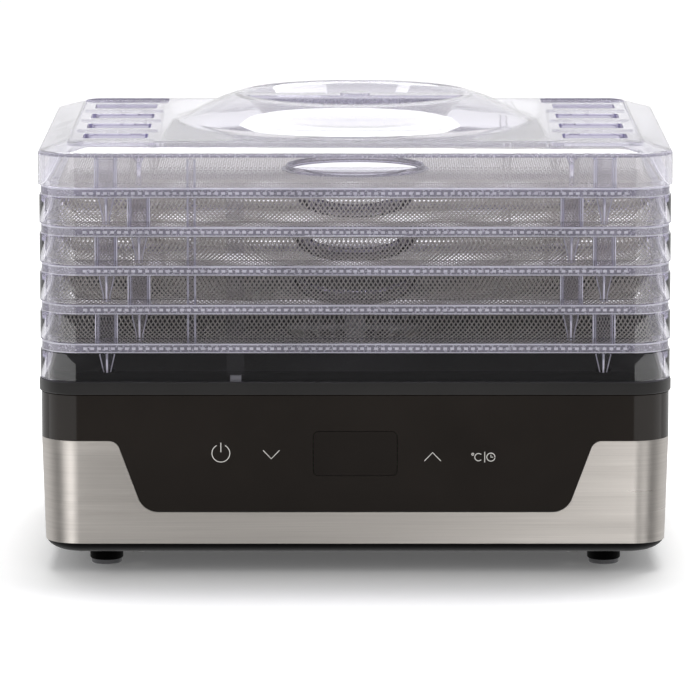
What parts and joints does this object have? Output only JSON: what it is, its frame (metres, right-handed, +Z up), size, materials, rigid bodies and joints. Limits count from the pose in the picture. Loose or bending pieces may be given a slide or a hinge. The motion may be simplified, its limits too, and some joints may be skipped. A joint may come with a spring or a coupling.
{
  "type": "food dehydrator",
  "caption": "Tabletop food dehydrator: fan-heated base wrapped in brushed steel with a touch panel, a stack of clear mesh-floored trays and a clear vented lid with a domed grip.",
  "frame": {"origin": "under the centre of the base, on the surface that the rubber feet stand on", "axes": "+Z up out of the lid, +X along the front panel to the user's right, -Y out of the front panel towards the user"},
  "size_m": [0.34, 0.25, 0.247],
  "materials": {
    "black_gloss": "gloss",
    "black_satin": "satin",
    "pan_plastic": "satin",
    "steel": "horizontal brush",
    "clear_plastic": "clear gloss",
    "window_plastic": "smoked gloss",
    "foot_rubber": "matte",
    "gland_rubber": "matte",
    "white_plastic": "satin",
    "circuit_board": "satin",
    "phenolic_board": "satin",
    "component_plastic": "satin",
    "spring_steel": "bright",
    "sheet_metal": "mill",
    "zinc_steel": "zinc plated",
    "motor_iron": "lacquered laminations",
    "bronze": "sintered",
    "shaft_steel": "ground",
    "fan_plastic": "satin",
    "mica": "matte",
    "heater_wire": "oxidised",
    "fuse_body": "glazed",
    "thermostat_body": "moulded",
    "sensor_bead": "epoxy",
    "cable_sleeve": "matte",
    "lead_sleeve": "matte"
  },
  "bodies": {
    "base": {"bottom_pan": "pan_plastic", "foot_front_left": "foot_rubber", "foot_front_right": "foot_rubber", "foot_rear_left": "foot_rubber", "foot_rear_right": "foot_rubber", "steel_wrap": "steel", "body_shell": "black_gloss", "display_window": "window_plastic", "display_module": "white_plastic", "control_board": "circuit_board", "touch_springs": "spring_steel", "top_deck": "black_satin", "outlet_grille": "black_satin", "air_duct": "white_plastic", "heat_shield": "sheet_metal", "motor_bracket": "zinc_steel", "fan_motor": "motor_iron", "motor_bush": "bronze", "heater_frame": "mica", "heater_coil": "heater_wire", "thermal_fuse": "fuse_body", "thermostat": "thermostat_body", "temperature_sensor": "sensor_bead", "power_board": "phenolic_board", "board_components": "component_plastic", "terminal_block": "white_plastic", "ribbon_cable": "cable_sleeve", "mains_leads": "cable_sleeve", "heater_leads": "lead_sleeve", "cord_gland": "gland_rubber", "pan_screws": "zinc_steel", "board_screws": "zinc_steel", "motor_screws": "zinc_steel", "duct_screws": "zinc_steel"},
    "fan_rotor": {"motor_rotor": "motor_iron", "motor_shaft": "shaft_steel", "fan_impeller": "fan_plastic", "impeller_nut": "bronze"},
    "tray_5": {"tray_5": "clear_plastic"},
    "tray_4": {"tray_4": "clear_plastic"},
    "tray_3": {"tray_3": "clear_plastic"},
    "tray_2": {"tray_2": "clear_plastic"},
    "tray_1": {"tray_1": "clear_plastic"},
    "lid": {"lid": "clear_plastic"}
  },
  "joints": [
    {"name": "fan_spin", "type": "hinge", "parent": "base", "child": "fan_rotor", "pos_m": [0, 0, 0.047], "axis": [0, 0, 1], "continuous": true},
    {"name": "tray_5_lift", "type": "slide", "parent": "base", "child": "tray_5", "axis": [0, 0, 1], "range_m": [0, 0.05]},
    {"name": "tray_4_lift", "type": "slide", "parent": "tray_5", "child": "tray_4", "axis": [0, 0, 1], "range_m": [0, 0.05]},
    {"name": "tray_3_lift", "type": "slide", "parent": "tray_4", "child": "tray_3", "axis": [0, 0, 1], "range_m": [0, 0.05]},
    {"name": "tray_2_lift", "type": "slide", "parent": "tray_3", "child": "tray_2", "axis": [0, 0, 1], "range_m": [0, 0.05]},
    {"name": "tray_1_lift", "type": "slide", "parent": "tray_2", "child": "tray_1", "axis": [0, 0, 1], "range_m": [0, 0.05]},
    {"name": "lid_lift", "type": "slide", "parent": "tray_1", "child": "lid", "axis": [0, 0, 1], "range_m": [0, 0.08]}
  ]
}
